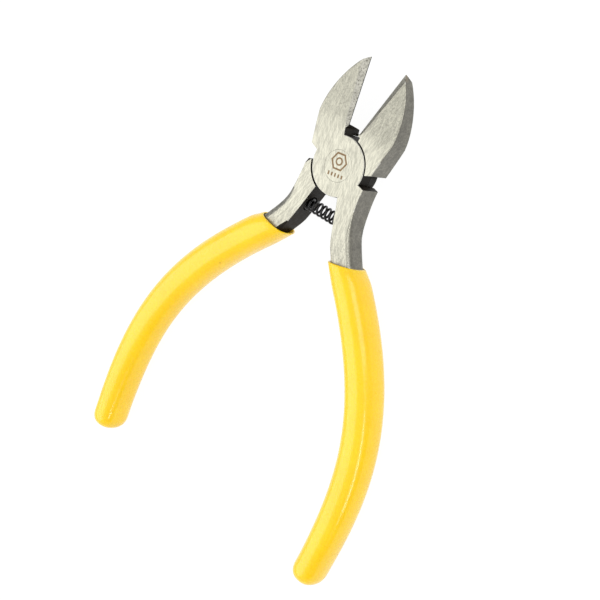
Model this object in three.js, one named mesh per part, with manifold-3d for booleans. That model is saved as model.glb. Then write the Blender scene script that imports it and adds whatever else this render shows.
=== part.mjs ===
// Flush cut pliers: two half-lapped steel levers on a flush rivet, a coil spring between the
// tangs and a dipped sleeve on each handle. Millimetres, +Z up.
//
// The pliers lie flat and stand open at the spring's free length. +Y runs from the handles to
// the jaws, +Z is the marked front, where the cutting edges are nearly flush. The origin is on
// the pivot axis, in the plane of the joint's back face. Each lever is drawn in the closed
// position, with its jaw at x < 0, and is then turned about the pivot by half the opening.

import * as THREE from "three";
import { mergeVertices } from "three/addons/utils/BufferGeometryUtils.js";
import Module from "manifold-3d";

const wasm = await Module();
wasm.setup();

// ---- Joint ----
const THICKNESS = 6.1; // steel, front face to back face
const MID_Z = THICKNESS / 2; // parting plane of the half lap
const HALF_OPENING = THREE.MathUtils.degToRad(11.6); // each lever away from closed
const DISC_R = 6.8; // round half of the lap
const RECESS_R = 7.1; // pocket in the other lever that the round half turns in
const LAP_GAP = 0.05; // each half stops this far short of the parting plane
const SHOULDER_JAW_DEG = 161; // where the jaw's shoulder meets the disc
const SHOULDER_TANG_DEG = -24.1; // where the tang's shoulder meets the disc
const THROAT_DEG = 93; // where the throat notch meets the disc
const TANG_ROOT_DEG = 285.3; // where the tang's inner wall meets the disc

// ---- Jaws ----
const TIP_Y = 24.3;
const EDGE_ROOT_Y = 9.3; // lower end of the cutting edge, top of the throat
const JAW_SIDE = new THREE.Vector2(-8.42, 10.9); // crease where the curved back of the jaw ends
const JAW_SHOULDER = new THREE.Vector2(-8.2, 3.35);
const TAPER_Y = 9.5; // front and back faces close in from here to the tip
const TAPER = THREE.MathUtils.degToRad(6.5); // on each face
const EDGE_DEPTH = 0.65; // cutting edge below the front face
const BEVEL_WIDTH = 1.1; // ground flat from the front face down to the edge
const RELIEF = THREE.MathUtils.degToRad(37); // ground away behind the edge, from the Z axis
const RELIEF_FLOOR = THREE.MathUtils.degToRad(10); // lower end of the relief, falling to the back
const EDGE_CLEARANCE = 0.02; // each edge stops this far from the plane where they meet

// ---- Tangs and handle cores ----
const TANG_SHOULDER = new THREE.Vector2(7.72, -3.5);
const CORNER_FLAT = 0.7; // depth of the flat that breaks the shoulder's back corner
const TANG_END_Y = -20; // square tang ends here, just outside its sleeve
const TANG_END_INNER_X = 3.5;
const TANG_END_OUTER_X = 9.38;
const CORE_A = 2.3; // half-width of the handle core inside the sleeve
const CORE_B = 2.85; // half-thickness, along Z
const CORE_END = 0.9; // how far along the sleeve the core reaches

// ---- Sleeves ----
const MOUTH_Y = -20.4; // level line of the dip, square to the pliers
const GRIP_PATH = new THREE.CubicBezierCurve(
  new THREE.Vector2(6.35, MOUTH_Y),
  new THREE.Vector2(24.7, -48.3),
  new THREE.Vector2(23.1, -64.9),
  new THREE.Vector2(15.4, -90.4),
);
const SLEEVE_GAP = 0.3; // sleeve to core
const MOUTH_BLEND = 0.1; // the section turns from level to square to the path within this share
// [share of the length, half-width, half-thickness along Z]
const GRIP_SECTIONS = [
  [0, 4.05, 4.05],
  [0.014, 4.12, 4.4],
  [0.05, 4, 4.6],
  [0.2, 4.04, 4.55],
  [0.35, 4.12, 4.36],
  [0.6, 4, 4.26],
  [0.8, 3.72, 4.46],
  [0.92, 3.5, 4.48],
];
const GRIP_END = 0.95; // the rounded end starts here
const SECTION_POWER = 2.3; // superellipse exponent, 2 is an ellipse

// ---- Rivet ----
const RIVET_HEAD_R = 3.54;
const RIVET_SHANK_R = 2.4;
const RIVET_HEAD_H = 0.6; // straight rim of each countersunk head
const RIVET_CONE_H = 1.14;
const RIVET_CLEARANCE = 0.06;

// ---- Spring ----
const SPRING_Y = -11.2;
const SPRING_R = 1.28; // middle of the wire
const WIRE_R = 0.29;
const SPRING_HALF = 6.2; // half the free length, socket to socket
const SPRING_TURNS = 11;
const SOCKET_R = 1.85;
const SOCKET_END_X = 6.6; // the sockets' floors, from the middle of the pliers

const FAR = 60; // larger than any piece it cuts

// ---- Solids ----

function toSolid(geometry) {
  geometry.deleteAttribute("normal");
  geometry.deleteAttribute("uv");
  const merged = mergeVertices(geometry, 1e-4);
  return new wasm.Manifold(
    new wasm.Mesh({
      numProp: 3,
      vertProperties: new Float32Array(merged.attributes.position.array),
      triVerts: new Uint32Array(merged.index.array),
    }),
  );
}

function toGeometry(solid) {
  const mesh = solid.getMesh();
  const geometry = new THREE.BufferGeometry();
  geometry.setAttribute("position", new THREE.BufferAttribute(mesh.vertProperties, 3));
  geometry.setIndex(new THREE.BufferAttribute(mesh.triVerts, 1));
  return geometry;
}

// A disc about the Z axis from z0 to z1.
function cylinderSolid(radius, z0, z1, segments) {
  const geometry = new THREE.CylinderGeometry(radius, radius, z1 - z0, segments);
  geometry.rotateX(Math.PI / 2);
  geometry.translate(0, 0, (z0 + z1) / 2);
  return toSolid(geometry);
}

// Half of space, as a big box: everything above z = 0 of the given frame.
function halfSpace(frame) {
  const geometry = new THREE.BoxGeometry(2 * FAR, 2 * FAR, FAR);
  geometry.translate(0, 0, FAR / 2);
  geometry.applyMatrix4(frame);
  return toSolid(geometry);
}

// Half of space on one side of three points, given anticlockwise as seen from that side.
function halfSpaceThrough(a, b, c) {
  const x = b.clone().sub(a).normalize();
  const z = x.clone().cross(c.clone().sub(a)).normalize();
  const y = z.clone().cross(x);
  return halfSpace(new THREE.Matrix4().makeBasis(x, y, z).setPosition(a));
}

// A closed body through rings of points, each ring with the same number of them.
function loftGeometry(rings) {
  const sides = rings[0].length;
  const positions = rings.flat().flatMap((p) => [p.x, p.y, p.z]);
  const index = [];
  for (let i = 0; i + 1 < rings.length; i++) {
    for (let j = 0; j < sides; j++) {
      const a = i * sides + j;
      const b = i * sides + ((j + 1) % sides);
      index.push(a, b, b + sides, a, b + sides, a + sides);
    }
  }
  const last = (rings.length - 1) * sides;
  for (let j = 1; j + 1 < sides; j++) {
    index.push(0, j + 1, j, last, last + j, last + j + 1);
  }
  const geometry = new THREE.BufferGeometry();
  geometry.setAttribute("position", new THREE.Float32BufferAttribute(positions, 3));
  geometry.setIndex(index);
  return geometry;
}

// ---- Levers ----

// Jaw, disc and tang as one outline, anticlockwise from the lower end of the cutting edge.
function leverOutline() {
  const shape = new THREE.Shape();
  const rad = THREE.MathUtils.degToRad;
  shape.moveTo(-EDGE_CLEARANCE, EDGE_ROOT_Y);
  shape.lineTo(-EDGE_CLEARANCE, TIP_Y);
  shape.bezierCurveTo(-3.5, 22.4, -7.6, 16.6, JAW_SIDE.x, JAW_SIDE.y);
  shape.lineTo(JAW_SHOULDER.x, JAW_SHOULDER.y);
  shape.absarc(0, 0, DISC_R, rad(SHOULDER_JAW_DEG), rad(TANG_ROOT_DEG), false);
  shape.bezierCurveTo(2.3, -11, 2.35, -15.8, TANG_END_INNER_X, TANG_END_Y);
  shape.lineTo(TANG_END_OUTER_X, TANG_END_Y);
  shape.bezierCurveTo(7, -13.9, 5.9, -10.2, TANG_SHOULDER.x, TANG_SHOULDER.y);
  shape.absarc(0, 0, DISC_R, rad(SHOULDER_TANG_DEG), rad(THROAT_DEG), false);
  shape.lineTo(-0.5, 8.3);
  shape.lineTo(-0.06, 8.9);
  shape.closePath();
  return shape;
}

// The core that the tang runs on into, inside its sleeve, grown by a margin on every side.
function coreSolid(margin) {
  const from = margin > 0 ? -0.004 : -0.03; // a cavity only breaks through the sleeve's mouth
  const steps = 14;
  const rings = [];
  for (let i = 0; i <= steps; i++) {
    const share = from + (CORE_END - from) * (i / steps);
    const narrowing = 1 - 0.25 * Math.max(0, share) ** 3;
    rings.push(sectionRing(share, CORE_A * narrowing + margin, CORE_B * narrowing + margin, 16));
  }
  if (margin > 0) {
    rings.push(sectionRing(CORE_END + 0.01, CORE_A * 0.5, CORE_B * 0.5, 16));
  }
  return toSolid(loftGeometry(rings));
}

// A small flat across the outer corner of the tang's shoulder, on the side away from the disc.
function cornerFlat() {
  return halfSpaceThrough(
    new THREE.Vector3(TANG_SHOULDER.x - 0.2, TANG_SHOULDER.y - 1.5, 0),
    new THREE.Vector3(TANG_SHOULDER.x - 0.9, TANG_SHOULDER.y + 0.15, 0),
    new THREE.Vector3(TANG_SHOULDER.x, TANG_SHOULDER.y, CORNER_FLAT),
  );
}

// The forging before its jaw is ground: full thickness but for the pocket behind the disc.
function leverBlank() {
  const plate = new THREE.ExtrudeGeometry(leverOutline(), {
    depth: THICKNESS,
    bevelEnabled: false,
    curveSegments: 20,
  });
  return toSolid(plate)
    .add(coreSolid(0))
    .subtract(cylinderSolid(RECESS_R, -1, MID_Z + LAP_GAP, 96))
    .subtract(cornerFlat().intersect(tangSide()));
}

// The part of space that holds the tang's shoulder and nothing else of the lever.
function tangSide() {
  return halfSpace(
    new THREE.Matrix4().makeRotationY(Math.PI / 2).setPosition(TANG_SHOULDER.x - 1.5, 0, 0),
  ).intersect(
    halfSpace(
      new THREE.Matrix4().makeRotationX(-Math.PI / 2).setPosition(0, TANG_SHOULDER.y - 3, 0),
    ),
  );
}

// Frame of a jaw face: z = 0 is the sloping face, y runs up the jaw, x is unchanged.
function jawFrame(atZ, slope) {
  const frame = new THREE.Matrix4().makeRotationX(slope);
  return frame.setPosition(0, TAPER_Y, atZ);
}

// Everything that grinding takes off a jaw that lies at x < 0.
function jawGrinding() {
  const front = jawFrame(THICKNESS, -TAPER);
  const backwards = new THREE.Matrix4().makeRotationY(Math.PI);
  const back = jawFrame(0, TAPER).multiply(backwards);

  const bevelTurn = new THREE.Matrix4()
    .makeRotationY(Math.atan2(EDGE_DEPTH, BEVEL_WIDTH))
    .setPosition(-EDGE_CLEARANCE, 0, -EDGE_DEPTH);
  const aboveRoot = halfSpace(
    new THREE.Matrix4().makeRotationX(-Math.PI / 2).setPosition(0, EDGE_ROOT_Y - 0.9, 0),
  );
  const bevel = halfSpace(front.clone().multiply(bevelTurn)).intersect(aboveRoot);

  const reliefTurn = new THREE.Matrix4()
    .makeRotationY(Math.PI / 2 + RELIEF)
    .setPosition(-EDGE_CLEARANCE, 0, -EDGE_DEPTH);
  const reliefFloor = halfSpace(
    new THREE.Matrix4()
      .makeRotationX(-RELIEF_FLOOR - Math.PI / 2)
      .setPosition(0, EDGE_ROOT_Y, THICKNESS - EDGE_DEPTH),
  );
  const relief = halfSpace(front.clone().multiply(reliefTurn)).intersect(reliefFloor);

  return halfSpace(front).add(halfSpace(back)).intersect(aboveTaper()).add(bevel).add(relief);
}

function aboveTaper() {
  return halfSpace(new THREE.Matrix4().makeRotationX(-Math.PI / 2).setPosition(0, TAPER_Y, 0));
}

// Turns a solid about the pivot, from closed to the rest position.
function opened(solid, turn) {
  return solid.rotate([0, 0, THREE.MathUtils.radToDeg(turn)]);
}

function springSockets() {
  const geometry = new THREE.CylinderGeometry(SOCKET_R, SOCKET_R, 2 * SOCKET_END_X, 32);
  geometry.rotateZ(Math.PI / 2);
  geometry.translate(0, SPRING_Y, MID_Z);
  return toSolid(geometry);
}

function frontLever() {
  const ground = leverBlank().subtract(jawGrinding()).subtract(rivetHole());
  return opened(ground, HALF_OPENING).subtract(springSockets());
}

// The same forging turned over about Y, with its jaw ground on the same face of the pliers.
function rearLever() {
  const turnedOver = leverBlank().rotate([0, 180, 0]).translate([0, 0, THICKNESS]);
  const grinding = jawGrinding().mirror([1, 0, 0]);
  const ground = turnedOver.subtract(grinding).subtract(rivetHole());
  return opened(ground, -HALF_OPENING).subtract(springSockets());
}

// ---- Rivet ----

// A pin with a countersunk head at each end. A hole has a clearance and runs past both faces.
function rivetGeometry(clearance, overrun) {
  const head = RIVET_HEAD_R + clearance;
  const shank = RIVET_SHANK_R + clearance;
  const cone = RIVET_HEAD_H + RIVET_CONE_H;
  const profile = [
    [0, -overrun],
    [head, -overrun],
    [head, RIVET_HEAD_H],
    [shank, cone],
    [shank, THICKNESS - cone],
    [head, THICKNESS - RIVET_HEAD_H],
    [head, THICKNESS + overrun],
    [0, THICKNESS + overrun],
  ];
  const points = profile.map(([r, z]) => new THREE.Vector2(r, z));
  const geometry = new THREE.LatheGeometry(points, 48);
  geometry.rotateX(Math.PI / 2);
  return geometry;
}

function rivetHole() {
  return toSolid(rivetGeometry(RIVET_CLEARANCE, 1));
}

// ---- Spring ----

class Helix extends THREE.Curve {
  getPoint(t, target = new THREE.Vector3()) {
    const turn = 2 * Math.PI * SPRING_TURNS * t;
    return target.set(
      SPRING_HALF * (2 * t - 1),
      SPRING_Y + SPRING_R * Math.cos(turn),
      MID_Z + SPRING_R * Math.sin(turn),
    );
  }
}

function springGeometry() {
  const wire = new THREE.Shape();
  wire.absarc(0, 0, WIRE_R, 0, 2 * Math.PI, false);
  return new THREE.ExtrudeGeometry(wire, {
    extrudePath: new Helix(),
    steps: SPRING_TURNS * 14,
    curveSegments: 7,
    bevelEnabled: false,
  });
}

// ---- Sleeves ----

// One closed ring of the handle's section, at a share of the path's length, for a handle at x > 0.
function sectionRing(share, halfWidth, halfThickness, sides) {
  const along = Math.max(0, share);
  const centre = GRIP_PATH.getPointAt(Math.min(1, along));
  const tangent = GRIP_PATH.getTangentAt(Math.min(1, along));
  centre.addScaledVector(tangent, (share - along) * GRIP_PATH.getLength());
  const level = 1 - THREE.MathUtils.smoothstep(along, 0, MOUTH_BLEND);
  const across = new THREE.Vector2(-tangent.y, tangent.x).lerp(new THREE.Vector2(1, 0), level);
  across.normalize();
  const ring = [];
  for (let j = 0; j < sides; j++) {
    const angle = (2 * Math.PI * j) / sides;
    const c = Math.cos(angle);
    const s = Math.sin(angle);
    const u = halfWidth * Math.sign(c) * Math.abs(c) ** (2 / SECTION_POWER);
    const w = halfThickness * Math.sign(s) * Math.abs(s) ** (2 / SECTION_POWER);
    ring.push(new THREE.Vector3(centre.x + across.x * u, centre.y + across.y * u, MID_Z + w));
  }
  return ring;
}

// Half-width and half-thickness of the sleeve at a share of its length.
function gripSize(share) {
  let i = GRIP_SECTIONS.length - 2;
  while (i > 0 && share < GRIP_SECTIONS[i][0]) i--;
  const [s0, a0, b0] = GRIP_SECTIONS[i];
  const [s1, a1, b1] = GRIP_SECTIONS[i + 1];
  const mix = (share - s0) / (s1 - s0);
  return [a0 + (a1 - a0) * mix, b0 + (b1 - b0) * mix];
}

function gripOuter() {
  const sides = 28;
  const rings = GRIP_SECTIONS.slice(0, 3).map(([s, a, b]) => sectionRing(s, a, b, sides));
  const bodySteps = 15;
  for (let i = 1; i <= bodySteps; i++) {
    const share = GRIP_SECTIONS[2][0] + (GRIP_END - GRIP_SECTIONS[2][0]) * (i / bodySteps);
    rings.push(sectionRing(share, ...gripSize(share), sides));
  }
  const [endA, endB] = gripSize(GRIP_END);
  const capSteps = 5;
  for (let i = 1; i < capSteps; i++) {
    const angle = (Math.PI / 2) * (i / capSteps);
    const share = GRIP_END + (1 - GRIP_END) * Math.sin(angle);
    rings.push(sectionRing(share, endA * Math.cos(angle), endB * Math.cos(angle), sides));
  }
  rings.push(sectionRing(1, endA * 0.12, endB * 0.12, sides));
  return toSolid(loftGeometry(rings));
}

function gripSolid() {
  return gripOuter().subtract(coreSolid(SLEEVE_GAP));
}

function rightGrip() {
  return opened(gripSolid(), HALF_OPENING);
}

function leftGrip() {
  return opened(gripSolid().mirror([1, 0, 0]), -HALF_OPENING);
}

// ---- Assembly ----

const GROUND_STEEL = { color: 0xd7d7cd, roughness: 0.38, metalness: 0.9 };
const RIVET_STEEL = { color: 0xcfcfc6, roughness: 0.35, metalness: 0.9 };
const BLACK_WIRE = { color: 0x17171a, roughness: 0.42, metalness: 0.6 };
const YELLOW_VINYL = { color: 0xfad732, roughness: 0.3, metalness: 0 };

function named(name, geometry, finish) {
  geometry.computeVertexNormals();
  const mesh = new THREE.Mesh(geometry, new THREE.MeshStandardMaterial(finish));
  mesh.name = name;
  return mesh;
}

const pliers = new THREE.Group();
pliers.add(
  named("front_lever", toGeometry(frontLever()), GROUND_STEEL),
  named("rear_lever", toGeometry(rearLever()), GROUND_STEEL),
  named("pivot_rivet", rivetGeometry(0, 0), RIVET_STEEL),
  named("return_spring", springGeometry(), BLACK_WIRE),
  named("right_grip", toGeometry(rightGrip()), YELLOW_VINYL),
  named("left_grip", toGeometry(leftGrip()), YELLOW_VINYL),
);

export default pliers;
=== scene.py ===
import math

import bmesh
import bpy
import numpy as np
from mathutils import Matrix, Vector


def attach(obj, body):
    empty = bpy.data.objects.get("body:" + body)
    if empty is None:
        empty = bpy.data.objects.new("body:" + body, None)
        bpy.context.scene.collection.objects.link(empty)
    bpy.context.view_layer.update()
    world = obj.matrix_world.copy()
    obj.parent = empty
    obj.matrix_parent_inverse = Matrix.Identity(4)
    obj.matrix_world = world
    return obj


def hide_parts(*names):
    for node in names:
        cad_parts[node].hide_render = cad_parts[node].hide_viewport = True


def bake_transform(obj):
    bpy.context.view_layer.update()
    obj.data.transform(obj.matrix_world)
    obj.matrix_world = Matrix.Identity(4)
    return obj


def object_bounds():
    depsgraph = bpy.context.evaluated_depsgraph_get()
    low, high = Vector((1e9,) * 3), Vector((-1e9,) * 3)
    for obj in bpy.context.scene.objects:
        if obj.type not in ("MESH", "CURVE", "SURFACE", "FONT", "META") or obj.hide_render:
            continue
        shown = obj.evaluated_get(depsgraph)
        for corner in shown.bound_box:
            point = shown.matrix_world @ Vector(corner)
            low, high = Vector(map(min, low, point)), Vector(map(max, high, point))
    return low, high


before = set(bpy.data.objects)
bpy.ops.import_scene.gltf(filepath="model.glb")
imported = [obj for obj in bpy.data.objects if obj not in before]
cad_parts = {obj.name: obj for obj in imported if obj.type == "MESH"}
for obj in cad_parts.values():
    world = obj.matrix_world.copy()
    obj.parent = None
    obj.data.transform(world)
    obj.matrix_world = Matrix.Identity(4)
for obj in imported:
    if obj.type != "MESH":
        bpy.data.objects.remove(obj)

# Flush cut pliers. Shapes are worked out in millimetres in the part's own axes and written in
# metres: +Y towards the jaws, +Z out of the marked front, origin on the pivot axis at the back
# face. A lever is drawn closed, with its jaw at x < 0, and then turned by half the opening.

MM = 0.001

# ---- Joint ----
THICKNESS = 6.1
MID_Z = THICKNESS / 2
HALF_OPENING = math.radians(11.6)
DISC_R = 6.8
RECESS_R = 7.1
LAP_GAP = 0.05
SHOULDER_JAW_DEG = 161
SHOULDER_TANG_DEG = -24.1
DISC_DRAFT = 0.22  # a disc is this much wider at its lap face
RECESS_FIT = 0.03  # left between that face and the pocket's floor corner
THROAT_DEG = 93
THROAT_POINTS = ((-0.5, 8.3), (-0.06, 8.9))
THROAT_STEP = (-0.8, 8.4)  # how far the throat is cut back over the recess's depth
TANG_ROOT_DEG = 285.3
OVERRUN = 1  # cutters reach this far past what they cut

# ---- Jaws ----
TIP = (-0.02, 24.3)
EDGE_ROOT_Y = 9.3
JAW_SIDE = (-8.42, 10.9)
JAW_SHOULDER = (-8.2, 3.35)
JAW_BACK_CURVE = ((-3.5, 22.4), (-7.6, 16.6))  # control points from tip to side
TAPER_Y = 9.5
TAPER_BLEND = 1.6  # the taper starts as a curve this far to each side
TAPER_CUTS = 9
TAPER = math.radians(6.5)
EDGE_DEPTH = 0.45  # below the front face, at the root of the edge
EDGE_DROP = math.radians(1.8)
EDGE_LAND = 0.25  # blunt strip below the edge, above the relief
BEVEL = math.radians(30.6)
RELIEF = math.radians(37)
RELIEF_FLOOR = math.radians(10)
EDGE_X = -0.02
# a lug and a ledge in the throats, each a block from its low to its high corner
REAR_LUG = ((-0.75, 7.95, 0.15), (EDGE_X, EDGE_ROOT_Y + 0.05, MID_Z))
FRONT_LEDGE = ((-2.7, 6.92, 0.1), (-0.05, 7.4, 1))

# ---- Tangs and handle cores ----
TANG_SHOULDER = (7.72, -3.5)
CORNER_FLAT = 0.8  # how far up the flat on the rear lever's shoulder reaches
CORNER_FLAT_LINE = ((-0.2, -1.5), (-0.9, 0.15))  # its foot, measured from the shoulder
TANG_INNER_END = (3.5, -20.0)
TANG_OUTER_END = (9.38, -20.0)
TANG_INNER_CURVE = ((2.3, -11.0), (2.35, -15.8))
TANG_OUTER_CURVE = ((7.0, -13.9), (5.9, -10.2))
TANG_INSERT = 3.2  # the tang runs this far on into its sleeve
INNER_RUN_ON = (0.43, -0.9)
OUTER_RUN_ON = (0.45, -0.89)
CORE_A = 2.3
CORE_B = 2.85
CORE_START = -0.01
CORE_END = 0.9
CORE_NARROWING = 0.25
CORE_TIP = 0.006  # share of the length over which the end narrows
CORE_TIP_SIZE = 0.6
CORE_SIDES = 32

# ---- Rounded edges ----
ROUND_STEPS = 8
CRISP = 0.07
DISC_ROUND = 0.16
JAW_ROUND = 0.36
JAW_TIP_FADE = 2.5  # the jaw's round comes in over this much from the tip
TANG_ROUND_TOP = 1.25  # outer edge of the tang where it enters the sleeve
TANG_ROUND_BOTTOM = 1.55
TANG_INNER_ROUND_TOP = 1.0
TANG_INNER_ROUND_BOTTOM = 0.8
TANG_ROUND_Y = (-7.0, -15.0)  # where the outer rounds start, and are full
TANG_INNER_ROUND_Y = (-16.2, -20.0)
TANG_ROUND_END_Y = (-20.8, -22.4)  # where all of them die away, in the sleeve
DEEP_ROUND = 1.25  # a large round is this much deeper than it is wide
DEEP_FROM = (0.5, 1.5)  # radii over which that comes in
LARGE_ROUND = 3 * CRISP  # a wider round takes its wall's material
FORGED_ROUND = 2 * JAW_ROUND
MITRE_LIMIT = 1.4
ARC_STEP_DEG = 2.0

# ---- Shading ----
SHARP_DEG = 25.0
FLAT_CREASE_DEG = 3.0
FLAT_AREA = 1.2  # a flat is broad above this many square millimetres
FLAT_WEIGHT = 90

# ---- Sleeves ----
MOUTH_Y = -20.4
GRIP_PATH = ((6.35, MOUTH_Y), (24.7, -48.3), (23.1, -64.9), (15.4, -90.4))
MOUTH_BLEND = 0.1
# share of the length, half-width, half-thickness along Z
GRIP_SECTIONS = (
    (0, 4.12, 4.05),
    (0.014, 4.1, 4.25),
    (0.05, 3.98, 4.42),
    (0.11, 3.94, 4.5),
    (0.2, 4.0, 4.5),
    (0.35, 4.08, 4.34),
    (0.6, 3.96, 4.24),
    (0.8, 3.68, 4.4),
    (0.92, 3.46, 4.42),
)
GRIP_SKIN_START = 0.009
GRIP_END = 0.952  # the domed end starts here
GRIP_TIP = 0.9995
DOME_REACH_POWER = 0.95
DOME_SIZE_POWER = 0.7
GRIP_SIDES = 96
SECTION_POWER = 2.3
MOUTH_POWER = 2.8
MOUTH_WALL = (3.55, 3.45)  # half-width and half-thickness of the sleeve's mouth, inside
MOUTH_DEPTH = 1.6
MOUTH_FLOOR = 0.5  # size of the closing ring inside, as a share of the wall's
WALL_TOP = 0.35
LIP_INNER = 0.3  # millimetres along the path
LIP_OUTER = 0.006  # share of the length
LIP_RISE = 0.34
LIP_POWER = 0.8
PATH_STEPS = 2000

# ---- Rivet ----
RIVET_HEAD_R = 3.54
RIVET_SHANK_R = 2.4
RIVET_HEAD_H = 0.6
RIVET_CONE_H = 1.14
RIVET_CLEARANCE = 0.02
RIVET_ROUND = 0.03
NO_ROUND = 0.001

# ---- Spring ----
SPRING_Y = -11.2
SPRING_R = 1.28
WIRE_R = 0.27
SPRING_HALF = 6.2
SPRING_TURNS = 11
SPRING_END_TURNS = 1.25  # closed turns at each end
TURN_BLEND = 0.3  # turns to each side over which the pitch changes
CLOSED_PITCH = 1.04  # wire diameters
WIRE_STEPS = 40
WIRE_SIDES = 16
SOCKET_R = 1.85
SOCKET_END_X = 6.6

# Slots of a lever's mesh
STEEL, SCALE, MACHINED, EDGE, FORGED, BEVELLED = range(6)

CAD_BOX = [list(corner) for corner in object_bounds()]


# ---- Small curves ----


def smoothstep(x, start, end):
    t = np.clip((np.asarray(x, float) - start) / (end - start), 0, 1)
    return t * t * (3 - 2 * t)


def line(a, b, step):
    a, b = np.array(a, float), np.array(b, float)
    count = max(1, round(np.linalg.norm(b - a) / step))
    return a + (b - a) * (np.arange(count)[:, None] / count)


def bezier(p0, p1, p2, p3, count):
    t = (np.arange(count) / count)[:, None]
    p0, p1, p2, p3 = (np.array(p, float) for p in (p0, p1, p2, p3))
    return (1 - t) ** 3 * p0 + 3 * (1 - t) ** 2 * t * p1 + 3 * (1 - t) * t**2 * p2 + t**3 * p3


def arc(radius, start_deg, end_deg):
    count = round(abs(end_deg - start_deg) / ARC_STEP_DEG)
    angle = np.radians(start_deg + (end_deg - start_deg) * np.arange(count) / count)
    return radius * np.column_stack([np.cos(angle), np.sin(angle)])


def on_disc(degrees):
    return (DISC_R * math.cos(math.radians(degrees)), DISC_R * math.sin(math.radians(degrees)))


# ---- Meshes ----


def new_object(name, bm, materials=()):
    mesh = bpy.data.meshes.new(name)
    bm.to_mesh(mesh)
    bm.free()
    obj = bpy.data.objects.new(name, mesh)
    bpy.context.scene.collection.objects.link(obj)
    for material in materials:
        mesh.materials.append(material)
    return obj


def add_loft(bm, rings, material=0):
    """Joins rings of points into a tube, with a flat end on the first and last."""
    rows = [[bm.verts.new(p) for p in ring] for ring in rings]
    sides = len(rows[0])
    for row, above in zip(rows, rows[1:]):
        for j in range(sides):
            k = (j + 1) % sides
            bm.faces.new((row[j], row[k], above[k], above[j])).material_index = material
    bm.faces.new(rows[0][::-1]).material_index = material
    bm.faces.new(rows[-1]).material_index = material
    return rows


def lathe(profile, segments=128, material=MACHINED):
    """A solid turned about the Z axis from (radius, z) pairs, going up, with flat ends."""
    bm = bmesh.new()
    angle = 2 * np.pi * np.arange(segments) / segments
    rings = [np.column_stack([r * np.cos(angle), r * np.sin(angle), np.full(segments, z)])
             for r, z in profile]
    add_loft(bm, rings, material)
    return bm


def carve(target, bm, operation="DIFFERENCE"):
    """Cuts a closed mesh out of an object, or joins it on. The cut faces keep its slots."""
    cutter = new_object("cutter", bm, target.data.materials)
    change = target.modifiers.new("carve", "BOOLEAN")
    change.operation = operation
    change.solver = "EXACT"
    change.material_mode = "INDEX"
    change.object = cutter
    bpy.context.view_layer.objects.active = target
    bpy.ops.object.modifier_apply(modifier=change.name)
    bpy.data.objects.remove(cutter, do_unlink=True)


def box(low, high, material=STEEL):
    bm = bmesh.new()
    bmesh.ops.create_cube(bm, size=1)
    low, high = Vector(low), Vector(high)
    for v in bm.verts:
        v.co = [a + (b - a) * (c + 0.5) for a, b, c in zip(low, high, v.co)]
    for face in bm.faces:
        face.material_index = material
    return bm


def keep_side(bm, point, normal, material=STEEL):
    """Keeps the part of a closed convex mesh on the side that the normal points to."""
    geometry = bm.verts[:] + bm.edges[:] + bm.faces[:]
    cut = bmesh.ops.bisect_plane(
        bm, geom=geometry, plane_co=point, plane_no=normal, clear_inner=True
    )
    edges = [g for g in cut["geom_cut"] if isinstance(g, bmesh.types.BMEdge)]
    for face in bmesh.ops.contextual_create(bm, geom=edges)["faces"]:
        face.material_index = material
    bmesh.ops.recalc_face_normals(bm, faces=bm.faces[:])
    return bm


def finish_shading(obj):
    """Sharp edges where faces turn, or where two broad flats meet; clean flats elsewhere."""
    bm = bmesh.new()
    bm.from_mesh(obj.data)
    for face in bm.faces:
        face.smooth = True
    for edge in bm.edges:
        if len(edge.link_faces) != 2:
            continue
        turn = math.degrees(edge.calc_face_angle(0.0))
        broad = min(face.calc_area() for face in edge.link_faces) > FLAT_AREA
        edge.smooth = not (turn > SHARP_DEG or (broad and turn > FLAT_CREASE_DEG))
    bm.to_mesh(obj.data)
    bm.free()
    weighted = obj.modifiers.new("flats", "WEIGHTED_NORMAL")
    weighted.keep_sharp = True
    weighted.weight = FLAT_WEIGHT
    bpy.context.view_layer.objects.active = obj
    bpy.ops.object.modifier_apply(modifier=weighted.name)


def to_metres(obj):
    obj.data.transform(Matrix.Scale(MM, 4))
    return obj


# ---- Lever ----


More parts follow.
